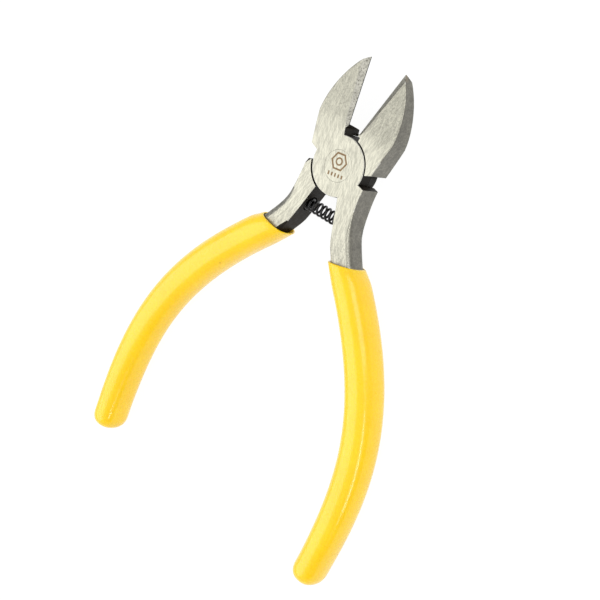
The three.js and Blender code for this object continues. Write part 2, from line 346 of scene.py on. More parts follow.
def lever_outline():
    """Jaw, disc and tang, anticlockwise: runs of (points, top radius, bottom radius, wall)."""
    inner_end = np.array(TANG_INNER_END)
    outer_end = np.array(TANG_OUTER_END)
    inner_run_on = inner_end + TANG_INSERT * np.array(INNER_RUN_ON)
    outer_run_on = outer_end + TANG_INSERT * np.array(OUTER_RUN_ON)
    jaw_back = bezier(TIP, *JAW_BACK_CURVE, JAW_SIDE, count=76)
    tang_inner = bezier(on_disc(TANG_ROOT_DEG), *TANG_INNER_CURVE, inner_end, count=60)
    tang_outer = bezier(outer_end, *TANG_OUTER_CURVE, TANG_SHOULDER, count=64)
    far_jaw = on_disc(SHOULDER_JAW_DEG)
    far_tang = on_disc(SHOULDER_TANG_DEG)

    def tang_round(large, start, full):
        die, gone = TANG_ROUND_END_Y

        def radius(y):
            share = smoothstep(-y, -start, -full) * (1 - smoothstep(-y, -die, -gone))
            return CRISP + (large - CRISP) * share

        return radius

    def jaw_round(y):
        return CRISP + (JAW_ROUND - CRISP) * smoothstep(TIP[1] - y, 0, JAW_TIP_FADE)

    def side_round(y):
        return CRISP + (JAW_ROUND - CRISP) * smoothstep(y, JAW_SHOULDER[1], JAW_SIDE[1])

    def crisp(y):
        return np.full(len(y), CRISP)

    def disc_round(y):
        return np.full(len(y), DISC_ROUND)

    top_outer = tang_round(TANG_ROUND_TOP, *TANG_ROUND_Y)
    bottom_outer = tang_round(TANG_ROUND_BOTTOM, *TANG_ROUND_Y)
    top_inner = tang_round(TANG_INNER_ROUND_TOP, *TANG_INNER_ROUND_Y)
    bottom_inner = tang_round(TANG_INNER_ROUND_BOTTOM, *TANG_INNER_ROUND_Y)
    inner_line = line(inner_end, inner_run_on, step=0.5)
    end_line = line(inner_run_on, outer_run_on, step=0.6)
    outer_line = line(outer_run_on, outer_end, step=0.5)
    throat = np.array([on_disc(THROAT_DEG), *THROAT_POINTS])
    return [
        (line((EDGE_X, EDGE_ROOT_Y), TIP, step=0.5), crisp, crisp, SCALE),
        (jaw_back, jaw_round, jaw_round, STEEL),
        (line(JAW_SIDE, JAW_SHOULDER, step=0.3), side_round, side_round, STEEL),
        (line(JAW_SHOULDER, far_jaw, step=0.5), crisp, crisp, SCALE),
        (arc(DISC_R, SHOULDER_JAW_DEG, TANG_ROOT_DEG), disc_round, disc_round, MACHINED),
        (tang_inner, top_inner, bottom_inner, SCALE),
        (inner_line, top_inner, bottom_inner, SCALE),
        (end_line, crisp, crisp, SCALE),
        (outer_line, top_outer, bottom_outer, STEEL),
        (tang_outer, top_outer, bottom_outer, STEEL),
        (line(TANG_SHOULDER, far_tang, step=0.5), crisp, crisp, SCALE),
        (arc(DISC_R, SHOULDER_TANG_DEG, THROAT_DEG), disc_round, disc_round, MACHINED),
        (throat, crisp, crisp, SCALE),
    ]


def plate():
    """The outline at full thickness, its edges rounded over, with the tapered jaw."""
    runs = lever_outline()
    points = np.concatenate([run[0] for run in runs])
    top = np.concatenate([run[1](run[0][:, 1]) for run in runs])
    bottom = np.concatenate([run[2](run[0][:, 1]) for run in runs])
    walls = np.concatenate([np.full(len(run[0]), run[3]) for run in runs])

    ahead = np.roll(points, -1, axis=0) - points
    ahead /= np.linalg.norm(ahead, axis=1)[:, None]
    inward = np.column_stack([-ahead[:, 1], ahead[:, 0]])
    before = np.roll(inward, 1, axis=0)
    mitre = (inward + before) / (1 + np.sum(inward * before, axis=1))[:, None]
    mitre *= np.minimum(1, MITRE_LIMIT / np.linalg.norm(mitre, axis=1))[:, None]

    def ring(radius, angle, from_top):
        flat = points + mitre * (radius * (1 - math.cos(angle)))[:, None]
        deep = radius * (1 + (DEEP_ROUND - 1) * smoothstep(radius, *DEEP_FROM))
        depth = deep * (1 - math.sin(angle))
        return np.column_stack([flat, THICKNESS - depth if from_top else depth])

    angles = [math.pi / 2 * i / ROUND_STEPS for i in range(ROUND_STEPS + 1)]
    # the draft leaves out an arc's end points, so that the notches keep their corners
    on_arc = walls == MACHINED
    on_arc = on_arc & np.roll(on_arc, 1) & np.roll(on_arc, -1)
    draft = np.where(on_arc, DISC_DRAFT, 0)[:, None]
    middle = np.column_stack([points - mitre * draft, np.full(len(points), MID_Z)])
    rings = [ring(bottom, a, False) for a in reversed(angles)]
    rings += [middle]
    rings += [ring(top, a, True) for a in angles]

    bm = bmesh.new()
    rows = add_loft(bm, rings)
    bm.faces.ensure_lookup_table()
    count = len(points)
    for level in range(len(rows) - 1):
        at_wall = level in (ROUND_STEPS, ROUND_STEPS + 1)
        radius = bottom if level < ROUND_STEPS else top
        for j in range(count):
            large = radius[j] > LARGE_ROUND
            # the small rounds take the EDGE slot, whose brighter colour is a painted highlight
            slot = int(walls[j]) if at_wall or large else EDGE
            if large and level > ROUND_STEPS + 1:
                slot = STEEL
            elif level < ROUND_STEPS and walls[j] == STEEL and radius[j] > FORGED_ROUND:
                slot = FORGED
            bm.faces[level * count + j].material_index = slot

    for y in np.linspace(TAPER_Y - TAPER_BLEND, TAPER_Y + TAPER_BLEND, TAPER_CUTS):
        geometry = bm.verts[:] + bm.edges[:] + bm.faces[:]
        bmesh.ops.bisect_plane(bm, geom=geometry, plane_co=(0, y, 0), plane_no=(0, 1, 0))
    for v in bm.verts:
        past = v.co.y - TAPER_Y
        if abs(past) < TAPER_BLEND:
            past = (past + TAPER_BLEND) ** 2 / (4 * TAPER_BLEND)
        drop = max(0.0, past) * math.tan(TAPER)
        v.co.z = MID_Z + (v.co.z - MID_Z) * (1 - drop / MID_Z)
    return bm


def core():
    """The handle core that the tang runs on into, inside its sleeve."""
    bm = bmesh.new()
    rings = []
    for share in np.linspace(CORE_START, CORE_END, 30):
        size = 1 - CORE_NARROWING * max(0.0, share) ** 3
        rings.append(section_ring(share, CORE_A * size, CORE_B * size, CORE_SIDES))
    rings.append(section_ring(
        CORE_END + CORE_TIP, CORE_A * CORE_TIP_SIZE, CORE_B * CORE_TIP_SIZE, CORE_SIDES))
    add_loft(bm, rings, SCALE)
    bmesh.ops.recalc_face_normals(bm, faces=bm.faces[:])
    return bm


def corner_flat():
    """The small unground flat that takes off the corner of a tang's shoulder."""
    x, y = TANG_SHOULDER
    a, b = (Vector((x + dx, y + dy, 0)) for dx, dy in CORNER_FLAT_LINE)
    c = Vector((x, y, CORNER_FLAT))
    normal = (b - a).cross(c - a)
    bm = box((x - 1.5, y - 3, -1), (x + 2, y + 3, 2), SCALE)
    return keep_side(bm, a, normal, SCALE)


def recess():
    """The pocket behind the disc, with a small break on its rim."""
    floor_z = MID_Z + LAP_GAP
    fit_r = DISC_R + DISC_DRAFT + RECESS_FIT
    profile = [(RECESS_R + CRISP + OVERRUN, -OVERRUN), (RECESS_R, CRISP), (fit_r, floor_z)]
    return lathe(profile, 180)


def throat_step():
    """Sets the throat's wall back over the depth of the recess."""
    x, y = THROAT_STEP
    return box((x, DISC_R - OVERRUN, -OVERRUN), (2 * OVERRUN, y, MID_Z + LAP_GAP), SCALE)


def rivet_solid(clearance, overrun, round_by):
    head = RIVET_HEAD_R + clearance
    shank = RIVET_SHANK_R + clearance
    cone = RIVET_HEAD_H + RIVET_CONE_H
    lower = [(head - round_by, -overrun), (head, round_by - overrun),
             (head, RIVET_HEAD_H), (shank, cone)]
    upper = [(r, THICKNESS - z) for r, z in reversed(lower)]
    return lathe(lower + upper, 128)


def throat_lug(is_rear):
    """Brings a lever's throat nearer to the other lever's disc."""
    return box(*REAR_LUG, STEEL) if is_rear else box(*FRONT_LEDGE, SCALE)


def jaw_frame(at_z, slope):
    """A frame at the start of the jaw's taper, tilted down towards the tip."""
    return Matrix.Translation((0, TAPER_Y, at_z)) @ Matrix.Rotation(slope, 4, "X")


def plane_of(matrix):
    """A point of the plane z = 0 of a frame, and the way it faces."""
    return matrix.translation, matrix.to_3x3() @ Vector((0, 0, 1))


def jaw_grinding():
    """The bevel at the front and the relief behind the edge, for a jaw at x < 0."""
    edge = jaw_frame(THICKNESS - EDGE_DEPTH, -TAPER - EDGE_DROP)
    bevel_turn = Matrix.Translation((EDGE_X, 0, 0)) @ Matrix.Rotation(BEVEL, 4, "Y")
    relief_turn = Matrix.Translation((EDGE_X, 0, -EDGE_LAND)) @ Matrix.Rotation(
        math.pi / 2 + RELIEF, 4, "Y"
    )
    floor = Matrix.Translation((0, EDGE_ROOT_Y, THICKNESS - EDGE_DEPTH)) @ Matrix.Rotation(
        -RELIEF_FLOOR - math.pi / 2, 4, "X"
    )
    # blocks larger than the jaw on the sides that do not grind
    bevel = box((-4, EDGE_ROOT_Y - 1, -2), (4, TIP[1] + 3, 9))
    keep_side(bevel, *plane_of(edge @ bevel_turn), BEVELLED)
    relief = box((-6, 4, -2), (4, TIP[1] + 3, 8))
    keep_side(relief, *plane_of(edge @ relief_turn))
    keep_side(relief, *plane_of(floor), SCALE)
    return [bevel, relief]


def mirrored(bm):
    bmesh.ops.transform(bm, matrix=Matrix.Scale(-1, 4, (1, 0, 0)), verts=bm.verts[:])
    bmesh.ops.reverse_faces(bm, faces=bm.faces[:])
    return bm


def socket_cutter():
    """One bore across both tangs, for the ends of the spring."""
    bm = lathe([(SOCKET_R, -SOCKET_END_X), (SOCKET_R, SOCKET_END_X)], 72, SCALE)
    turn = Matrix.Translation((0, SPRING_Y, MID_Z)) @ Matrix.Rotation(math.pi / 2, 4, "Y")
    bmesh.ops.transform(bm, matrix=turn, verts=bm.verts[:])
    return bm


def lever(name, is_rear, materials):
    """One lever, cut while closed and then turned to its rest position."""
    obj = new_object(name, plate(), materials)
    carve(obj, core(), "UNION")
    carve(obj, recess())
    carve(obj, throat_step())
    carve(obj, throat_lug(is_rear), "UNION")
    grinding = jaw_grinding()
    if is_rear:
        carve(obj, corner_flat())
        turn_over = Matrix.Translation((0, 0, THICKNESS)) @ Matrix.Rotation(math.pi, 4, "Y")
        obj.data.transform(turn_over)
        grinding = [mirrored(bm) for bm in grinding]
    for bm in grinding:
        carve(obj, bm)
    carve(obj, rivet_solid(RIVET_CLEARANCE, OVERRUN, NO_ROUND))
    obj.data.transform(Matrix.Rotation(-HALF_OPENING if is_rear else HALF_OPENING, 4, "Z"))
    carve(obj, socket_cutter())
    finish_shading(obj)
    return to_metres(obj)


# ---- Sleeves ----

PATH_XY = np.vstack([bezier(*GRIP_PATH, PATH_STEPS), GRIP_PATH[-1]])
PATH_RUN = np.concatenate([[0], np.cumsum(np.linalg.norm(np.diff(PATH_XY, axis=0), axis=1))])
PATH_LENGTH = PATH_RUN[-1]


def path_at(share):
    """Centre and unit tangent at a share of the handle's length, straight on before 0."""
    run = min(max(share, 0.0), 1.0) * PATH_LENGTH
    centre = np.array([np.interp(run, PATH_RUN, PATH_XY[:, axis]) for axis in (0, 1)])
    near = min(max(int(np.searchsorted(PATH_RUN, run)), 1), len(PATH_RUN) - 1)
    tangent = PATH_XY[near] - PATH_XY[near - 1]
    tangent /= np.linalg.norm(tangent)
    return centre + tangent * min(share, 0.0) * PATH_LENGTH, tangent


def section_ring(share, half_width, half_thickness, sides, power=SECTION_POWER):
    """A ring of the handle's section, for a handle at x > 0, closed position."""
    centre, tangent = path_at(share)
    level = 1 - float(smoothstep(max(0.0, share), 0, MOUTH_BLEND))
    across = np.array([-tangent[1], tangent[0]]) * (1 - level) + np.array([1.0, 0.0]) * level
    across /= np.linalg.norm(across)
    angle = 2 * np.pi * np.arange(sides) / sides
    c, s = np.cos(angle), np.sin(angle)
    u = half_width * np.sign(c) * np.abs(c) ** (2 / power)
    w = half_thickness * np.sign(s) * np.abs(s) ** (2 / power)
    return np.column_stack([centre[0] + across[0] * u, centre[1] + across[1] * u, MID_Z + w])


def grip_size(share):
    """Half-width and half-thickness, on a smooth curve through the stations."""
    stations = np.array(GRIP_SECTIONS)
    s = stations[:, 0]
    i = int(np.clip(np.searchsorted(s, share) - 1, 0, len(s) - 2))
    slopes = np.gradient(stations[:, 1:], s, axis=0)
    h = s[i + 1] - s[i]
    t = (share - s[i]) / h
    if t > 1:
        return tuple(stations[-1, 1:])
    hermite = ((1 + 2 * t) * (1 - t) ** 2, t * (1 - t) ** 2, t * t * (3 - 2 * t), t * t * (t - 1))
    value = hermite[0] * stations[i, 1:] + hermite[1] * h * slopes[i]
    value = value + hermite[2] * stations[i + 1, 1:] + hermite[3] * h * slopes[i + 1]
    return tuple(value)


def grip(name, is_left, material):
    """A sleeve: a short way up its inside, over the rolled lip and down to its domed end."""
    depth = MOUTH_DEPTH / PATH_LENGTH
    floor_size = [a * MOUTH_FLOOR for a in MOUTH_WALL]
    rings = [section_ring(depth, *floor_size, GRIP_SIDES, MOUTH_POWER),
             section_ring(depth, *MOUTH_WALL, GRIP_SIDES, MOUTH_POWER),
             section_ring(WALL_TOP / PATH_LENGTH, *MOUTH_WALL, GRIP_SIDES, MOUTH_POWER)]
    # the rolled lip, from the inner wall over the top to the outside
    outer = grip_size(LIP_OUTER)
    inner_share = LIP_INNER / PATH_LENGTH
    for angle in np.linspace(0, math.pi, 11):
        out = (1 - math.cos(angle)) / 2
        size = [a + (b - a) * out for a, b in zip(MOUTH_WALL, outer)]
        rise = LIP_RISE * math.sin(angle) ** LIP_POWER / PATH_LENGTH
        share = inner_share + (LIP_OUTER - inner_share) * out - rise
        power = MOUTH_POWER + (SECTION_POWER - MOUTH_POWER) * out
        rings.append(section_ring(max(share, 0.0), *size, GRIP_SIDES, power))
    for share in np.linspace(GRIP_SKIN_START, GRIP_END, 150):
        rings.append(section_ring(share, *grip_size(share), GRIP_SIDES))
    end = grip_size(GRIP_END)
    for angle in np.linspace(0, math.pi / 2, 22)[1:-1]:
        share = GRIP_END + (GRIP_TIP - GRIP_END) * math.sin(angle) ** DOME_REACH_POWER
        keep = math.cos(angle) ** DOME_SIZE_POWER
        rings.append(section_ring(share, end[0] * keep, end[1] * keep, GRIP_SIDES))
    bm = bmesh.new()
    add_loft(bm, rings)
    if is_left:
        mirrored(bm)
    bmesh.ops.recalc_face_normals(bm, faces=bm.faces[:])
    turn = Matrix.Rotation(-HALF_OPENING if is_left else HALF_OPENING, 4, "Z")
    bmesh.ops.transform(bm, matrix=turn, verts=bm.verts[:])
    obj = new_object(name, bm, [material])
    for face in obj.data.polygons:
        face.use_smooth = True
    return to_metres(obj)


# ---- Rivet and spring ----


def rivet(materials):
    obj = new_object("rivet_detail", rivet_solid(0, 0, RIVET_ROUND), materials)
    finish_shading(obj)
    return to_metres(obj)


def spring(material):
    """A coil along X between the tangs, with closed turns at each end."""
    turns = np.linspace(0, SPRING_TURNS, SPRING_TURNS * WIRE_STEPS + 1)
    closed = 2 * WIRE_R * CLOSED_PITCH
    open_pitch = (2 * SPRING_HALF - 2 * WIRE_R - 2 * SPRING_END_TURNS * closed) / (
        SPRING_TURNS - 2 * SPRING_END_TURNS
    )
    span = (SPRING_END_TURNS - TURN_BLEND, SPRING_END_TURNS + TURN_BLEND)
    blend = smoothstep(turns, *span) * smoothstep(SPRING_TURNS - turns, *span)
    pitch = closed + (open_pitch - closed) * blend
    advance = np.concatenate([[0], np.cumsum((pitch[1:] + pitch[:-1]) / 2 * np.diff(turns))])
    x = (advance - advance[-1] / 2) * (2 * (SPRING_HALF - WIRE_R) / advance[-1])
    angle = 2 * np.pi * turns
    centres = np.column_stack([x, SPRING_Y + SPRING_R * np.cos(angle),
                               MID_Z + SPRING_R * np.sin(angle)])
    outward = np.column_stack([np.zeros(len(x)), np.cos(angle), np.sin(angle)])
    tangent = np.gradient(centres, axis=0)
    tangent /= np.linalg.norm(tangent, axis=1)[:, None]
    side = np.cross(tangent, outward)
    around = 2 * np.pi * np.arange(WIRE_SIDES) / WIRE_SIDES
    rings = [c + WIRE_R * (np.cos(around)[:, None] * o + np.sin(around)[:, None] * s)
             for c, o, s in zip(centres, outward, side)]
    bm = bmesh.new()
    add_loft(bm, rings)
    bmesh.ops.recalc_face_normals(bm, faces=bm.faces[:])
    obj = new_object("spring_wire", bm, [material])
    for face in obj.data.polygons:
        face.use_smooth = len(face.vertices) == 4
    return to_metres(obj)


# ---- Materials ----


class Shader:
    """A Principled material and short ways to add the nodes that feed it."""

    def __init__(self, name, **values):
        self.material = bpy.data.materials.new(name)
        self.material.use_nodes = True
        self.tree = self.material.node_tree
        self.bsdf = self.tree.nodes["Principled BSDF"]
        self.coords = self.tree.nodes.new("ShaderNodeTexCoord").outputs["Object"]
        for key, value in values.items():
            self.bsdf.inputs[key.replace("_", " ")].default_value = value

    def link(self, source, socket):
        self.tree.links.new(source, socket)

    def fill(self, socket, value):
        if isinstance(value, bpy.types.NodeSocket):
            self.link(value, socket)
        else:
            socket.default_value = value

    def feed(self, name, source):
        self.link(source, self.bsdf.inputs[name])

    def math(self, operation, a, b=0.0):
        node = self.tree.nodes.new("ShaderNodeMath")
        node.operation = operation
        self.fill(node.inputs[0], a)
        self.fill(node.inputs[1], b)
        return node.outputs[0]

    def ramp(self, value, low, high, to_low=0.0, to_high=1.0):
        """A smooth step of a value from low to high."""
        node = self.tree.nodes.new("ShaderNodeMapRange")
        node.interpolation_type = "SMOOTHSTEP"
        self.fill(node.inputs["Value"], value)
        node.inputs["From Min"].default_value = low
        node.inputs["From Max"].default_value = high
        node.inputs["To Min"].default_value = to_low
        node.inputs["To Max"].default_value = to_high
        return node.outputs["Result"]

    def turned(self, angle=0.0, centre=(0, 0, 0), size=(1, 1, 1)):
        """Object coordinates in a frame turned about Z, in units of the given sizes."""
        node = self.tree.nodes.new("ShaderNodeMapping")
        node.vector_type = "TEXTURE"
        node.inputs["Location"].default_value = centre
        node.inputs["Rotation"].default_value = (0, 0, angle)
        node.inputs["Scale"].default_value = size
        self.link(self.coords, node.inputs["Vector"])
        return node.outputs["Vector"]

    def noise(self, size, angle=0.0, detail=2.0, rough=0.5):
        """Noise from 0 to 1 with features of the given sizes in metres."""
        node = self.tree.nodes.new("ShaderNodeTexNoise")
        node.inputs["Scale"].default_value = 1.0
        node.inputs["Detail"].default_value = detail
        node.inputs["Roughness"].default_value = rough
        size = size if isinstance(size, tuple) else (size,) * 3
        self.link(self.turned(angle, size=size), node.inputs["Vector"])
        return node.outputs["Fac"]

    def parts(self, vector):
        node = self.tree.nodes.new("ShaderNodeSeparateXYZ")
        self.link(vector, node.inputs[0])
        return node.outputs

    def mix(self, factor, a, b):
        node = self.tree.nodes.new("ShaderNodeMix")
        node.data_type = "RGBA"
        self.fill(node.inputs["Factor"], factor)
        # the colour sockets come after the number and vector ones
        for socket, value in ((node.inputs[6], a), (node.inputs[7], b)):
            is_socket = isinstance(value, bpy.types.NodeSocket)
            self.fill(socket, value if is_socket else (*value, 1.0))
        return node.outputs[2]

    def bump(self, height, distance, strength, under=None):
        node = self.tree.nodes.new("ShaderNodeBump")
        node.inputs["Distance"].default_value = distance
        node.inputs["Strength"].default_value = strength
        self.link(height, node.inputs["Height"])
        if under is not None:
            self.link(under, node.inputs["Normal"])
        return node.outputs["Normal"]

    def normal_z(self):
        geometry = self.tree.nodes.new("ShaderNodeNewGeometry")
        return self.parts(geometry.outputs["Normal"])[2]


# Base colours, and for the metals their share of metal
METAL = 0.85
FACE_COLOUR = (0.545, 0.531, 0.438)
FACE_DARK = (0.25, 0.243, 0.206)
SIDE_COLOUR = (0.262, 0.252, 0.214)
SIDE_DARK = (0.114, 0.11, 0.095)
FORGED_COLOUR = (0.24, 0.235, 0.205)
FORGED_DARK = (0.15, 0.146, 0.127)
BEVEL_COLOUR = (0.40, 0.39, 0.34)
BEVEL_DARK = (0.29, 0.283, 0.245)
BEVEL_SPECK = (0.10, 0.093, 0.075)
# painted highlight: brighter than FACE_COLOUR, so the small rounds of the corners shine whatever
# the light
EDGE_HIGHLIGHT_COLOUR = (0.66, 0.65, 0.58)
EDGE_DARK = (0.34, 0.33, 0.29)
HEAT_TINT = (0.30, 0.21, 0.11)
MARK_COLOUR = (0.16, 0.095, 0.04)
SCALE_BLACK = (0.007, 0.0055, 0.004)
SCALE_BROWN = (0.022, 0.0175, 0.0115)
SCALE_RUBBED = (0.06, 0.049, 0.034)
LAP_COLOUR = (0.012, 0.0105, 0.008)
LAP_DARK = (0.006, 0.005, 0.004)
LAP_TURNED = (0.03, 0.027, 0.02)
WIRE_BLACK = (0.006, 0.006, 0.007)
WIRE_GREY = (0.018, 0.017, 0.017)
VINYL_COLOUR = (0.97, 0.63, 0.004)
VINYL_DEEP = (0.95, 0.605, 0.003)
VINYL_DIRT = (0.42, 0.24, 0.02)
DIRT_SPACING = 0.0062  # metres
DIRT_SIZE = (0.022, 0.05)  # of that spacing: full, and gone
DIRT_ABOVE = 0.72  # only the cells with a random value above this have a speck

FLOOR_COLOUR = (0.1, 0.1, 0.1)
FLOOR_GLOW = 0.94

# Where a wall turns into a ground face, and a ground face into the front, by its normal's z
FACING = (0.42, 0.96)
FRONT = (0.9, 0.99)

# Sizes and places in the steel's grain, in metres
CLOUD = 0.0021
GRAIN = 0.00042
SCRATCHES = (
    ((0.00020, 0.0032, 0.004), math.radians(-11)),
    ((0.00024, 0.0024, 0.004), math.radians(14)),
)
ROUGH_JAW = (0.0075, 0.0135)
ROUGH_TANG = (-0.0125, -0.0185)
TINT_REACH = (0.0006, 0.0022)
TINT_BACK = 0.2  # millimetres from the tip to the middle of the tint
TINT_Z = 0.0045

# The burnt mark, in millimetres
MARK_TURN = math.radians(6.5)
MARK_SOFT = 0.06  # its lines fade out over this much
HEX_CENTRE_Y = 1.0
HEX_R = 1.7
HEX_LINE = 0.17  # half the width of the line
RING_R = 0.75
RING_LINE = 0.16
BAR_PITCH = 0.9
BAR_HALF = 0.2  # in pitches
BAR_Y = -2.05
BAR_HALF_HEIGHT = 0.38
BAR_ROW_HALF = 2.0


def mark_mask(sh):
    """A plain hexagon outline with a row of short bars under it, burnt into the disc."""
    x, y, _ = sh.parts(sh.turned(MARK_TURN, size=(MM, MM, MM)))

    def within(distance, half):
        return sh.ramp(sh.math("ABSOLUTE", distance), half, half + MARK_SOFT, 1, 0)

    # hexagon: the largest of three distances, each to a pair of its sides
    hex_y = sh.math("SUBTRACT", y, HEX_CENTRE_Y)
    far = sh.math("ABSOLUTE", hex_y)
    for angle in (math.radians(30), math.radians(-30)):
        along = sh.math("ADD", sh.math("MULTIPLY", x, math.cos(angle)),
                        sh.math("MULTIPLY", hex_y, math.sin(angle)))
        far = sh.math("MAXIMUM", far, sh.math("ABSOLUTE", along))
    hexagon = within(sh.math("SUBTRACT", far, HEX_R), HEX_LINE)
    radius = sh.math("SQRT", sh.math("ADD", sh.math("MULTIPLY", x, x),
                                     sh.math("MULTIPLY", hex_y, hex_y)))
    ring = within(sh.math("SUBTRACT", radius, RING_R), RING_LINE)
    # bars: stripes across a short band
    pitches = sh.math("ADD", sh.math("DIVIDE", x, BAR_PITCH), 0.5)
    stripes = within(sh.math("SUBTRACT", sh.math("FRACT", pitches), 0.5), BAR_HALF)
    row = within(sh.math("SUBTRACT", y, BAR_Y), BAR_HALF_HEIGHT)
    ends = within(x, BAR_ROW_HALF)
    bars = sh.math("MULTIPLY", sh.math("MULTIPLY", stripes, row), ends)
    shape = sh.math("MAXIMUM", sh.math("MAXIMUM", hexagon, ring), bars)
    return sh.math("MULTIPLY", shape, sh.ramp(sh.normal_z(), *FRONT))


def ground_steel(name, turn, marked):
    """Surface ground faces, brushed along the tool, over satin side walls."""
    sh = Shader(name, Metallic=METAL, Anisotropic=0.2)
    flat = sh.ramp(sh.math("ABSOLUTE", sh.normal_z()), *FACING)
    cloud = sh.noise(CLOUD, detail=4, rough=0.6)
    grain = sh.noise(GRAIN, detail=4, rough=0.7)
    # two sets of long thin scratches, turned to each side of the lever's own length
    first, second = (sh.noise(size, turn + lean, detail=3, rough=0.6) for size, lean in SCRATCHES)
    scratch = sh.math("MULTIPLY", sh.math("ADD", first, second), 0.5)

    # the grind is rougher on the jaw and at the end of the tang
    along_lever = sh.parts(sh.turned(turn))[1]
    jaw = sh.ramp(along_lever, *ROUGH_JAW)
    tang_end = sh.ramp(along_lever, *ROUGH_TANG)

    face = sh.mix(sh.math("MULTIPLY", sh.ramp(cloud, 0.35, 0.7), 0.12), FACE_COLOUR, FACE_DARK)
    face = sh.mix(sh.math("MULTIPLY", sh.ramp(scratch, 0.44, 0.58), 0.5), face, FACE_DARK)
    rough_zone = sh.math("MAXIMUM", jaw, tang_end)
    speckle = sh.math("MULTIPLY", sh.ramp(grain, 0.46, 0.64),
                      sh.math("ADD", sh.math("MULTIPLY", rough_zone, 0.45), 0.15))
    face = sh.mix(speckle, face, FACE_DARK)
    side = sh.mix(sh.ramp(cloud, 0.3, 0.7, 0, 0.6), SIDE_COLOUR, SIDE_DARK)
    side = sh.mix(sh.math("MULTIPLY", sh.ramp(grain, 0.42, 0.62), 0.6), side, SIDE_DARK)
    colour = sh.mix(flat, side, face)

    # a faint brown tint round the jaw's tip
    tip = Matrix.Rotation(turn, 3, "Z") @ Vector((TIP[0] * MM, (TIP[1] - TINT_BACK) * MM, TINT_Z))
    length = sh.tree.nodes.new("ShaderNodeVectorMath")
    length.operation = "LENGTH"
    sh.link(sh.turned(turn, tuple(tip)), length.inputs[0])
    near_tip = sh.ramp(length.outputs["Value"], *TINT_REACH, 0.45, 0)
    colour = sh.mix(near_tip, colour, HEAT_TINT)
    if marked:
        mask = sh.math("MULTIPLY", mark_mask(sh), sh.ramp(grain, 0.25, 0.5, 0.72, 0.95))
        colour = sh.mix(mask, colour, MARK_COLOUR)
    sh.feed("Base Color", colour)

    roughness = sh.math("ADD", sh.math("MULTIPLY", scratch, 0.2), 0.32)
    roughness = sh.math("ADD", roughness, sh.math("MULTIPLY", rough_zone, 0.05))
    sh.feed("Roughness", roughness)
    scratched = sh.bump(scratch, 0.000012, 0.5)
    sh.feed("Normal", sh.bump(grain, 0.000016, 0.45, scratched))
    return sh.material


def forged_steel():
    """Satin grey of the rounded corners that the grinding does not reach."""
    sh = Shader("forged_steel", Metallic=METAL)
    cloud = sh.noise(0.0012, detail=4, rough=0.6)
    sh.feed("Base Color", sh.mix(sh.ramp(cloud, 0.35, 0.65), FORGED_COLOUR, FORGED_DARK))
    sh.feed("Roughness", sh.ramp(cloud, 0.2, 0.8, 0.4, 0.55))
    sh.feed("Normal", sh.bump(sh.noise(0.0004, detail=3), 0.00002, 0.4))
    return sh.material


def ground_bevel():
    """Coarser and greyer grind of the bevels, with dark specks."""
    sh = Shader("ground_bevel", Metallic=METAL)
    cloud = sh.noise(CLOUD, detail=4, rough=0.6)
    grain = sh.noise(GRAIN, detail=4, rough=0.7)
    colour = sh.mix(sh.ramp(cloud, 0.3, 0.7), BEVEL_COLOUR, BEVEL_DARK)
    colour = sh.mix(sh.ramp(grain, 0.5, 0.66, 0, 0.8), colour, BEVEL_SPECK)
    sh.feed("Base Color", colour)
    sh.feed("Roughness", sh.ramp(grain, 0.3, 0.7, 0.36, 0.5))
    sh.feed("Normal", sh.bump(grain, 0.00002, 0.5))
    return sh.material


def edge_wear_and_highlight():
    """Bright line along the ground corners: a painted highlight, its colour brighter than the
    faces, with a mottle like wear.
    """
    sh = Shader("edge_wear_and_highlight", Metallic=METAL)
    wear = sh.noise(0.0006, detail=3)
    sh.feed("Base Color", sh.mix(wear, EDGE_HIGHLIGHT_COLOUR, EDGE_DARK))
    sh.feed("Roughness", sh.ramp(wear, 0.2, 0.8, 0.3, 0.5))
    return sh.material


def forge_scale():
    """Near-black brown scale on the walls that are never ground."""
    sh = Shader("forge_scale", IOR=1.25)
    cloud = sh.noise(0.0011, detail=5, rough=0.65)
    grain = sh.noise(0.00028, detail=3, rough=0.6)
    colour = sh.mix(sh.ramp(cloud, 0.35, 0.7), SCALE_BLACK, SCALE_BROWN)
    rubbed = sh.math("MULTIPLY", sh.ramp(grain, 0.55, 0.75), 0.6)
    colour = sh.mix(rubbed, colour, SCALE_RUBBED)
    sh.feed("Base Color", colour)
    sh.feed("Roughness", sh.ramp(cloud, 0.2, 0.8, 0.42, 0.66))
    sh.feed("Normal", sh.bump(grain, 0.00002, 0.5, sh.bump(cloud, 0.00005, 0.4)))
    return sh.material


def machined_steel():
    """Turned walls and floors of the lap, blackened and oily."""
    sh = Shader("machined_steel", IOR=1.2)
    rings = sh.noise((0.004, 0.004, 0.00008), detail=2)
    cloud = sh.noise(0.0012, detail=3)
    colour = sh.mix(sh.ramp(cloud, 0.3, 0.7), LAP_COLOUR, LAP_DARK)
    sh.feed("Base Color", sh.mix(sh.math("MULTIPLY", rings, 0.4), colour, LAP_TURNED))
    sh.feed("Roughness", sh.ramp(rings, 0.2, 0.8, 0.4, 0.6))
    return sh.material


def black_wire():
    """Blued spring wire under a thin film of oil."""
    sh = Shader("black_wire", Metallic=0.5, Coat_Weight=0.25, Coat_Roughness=0.25)
    film = sh.noise(0.0006, detail=3)
    sh.feed("Base Color", sh.mix(film, WIRE_BLACK, WIRE_GREY))
    sh.feed("Roughness", sh.ramp(film, 0.2, 0.8, 0.28, 0.45))
    sh.feed("Normal", sh.bump(sh.noise(0.00012, detail=2), 0.000008, 0.5))
    return sh.material


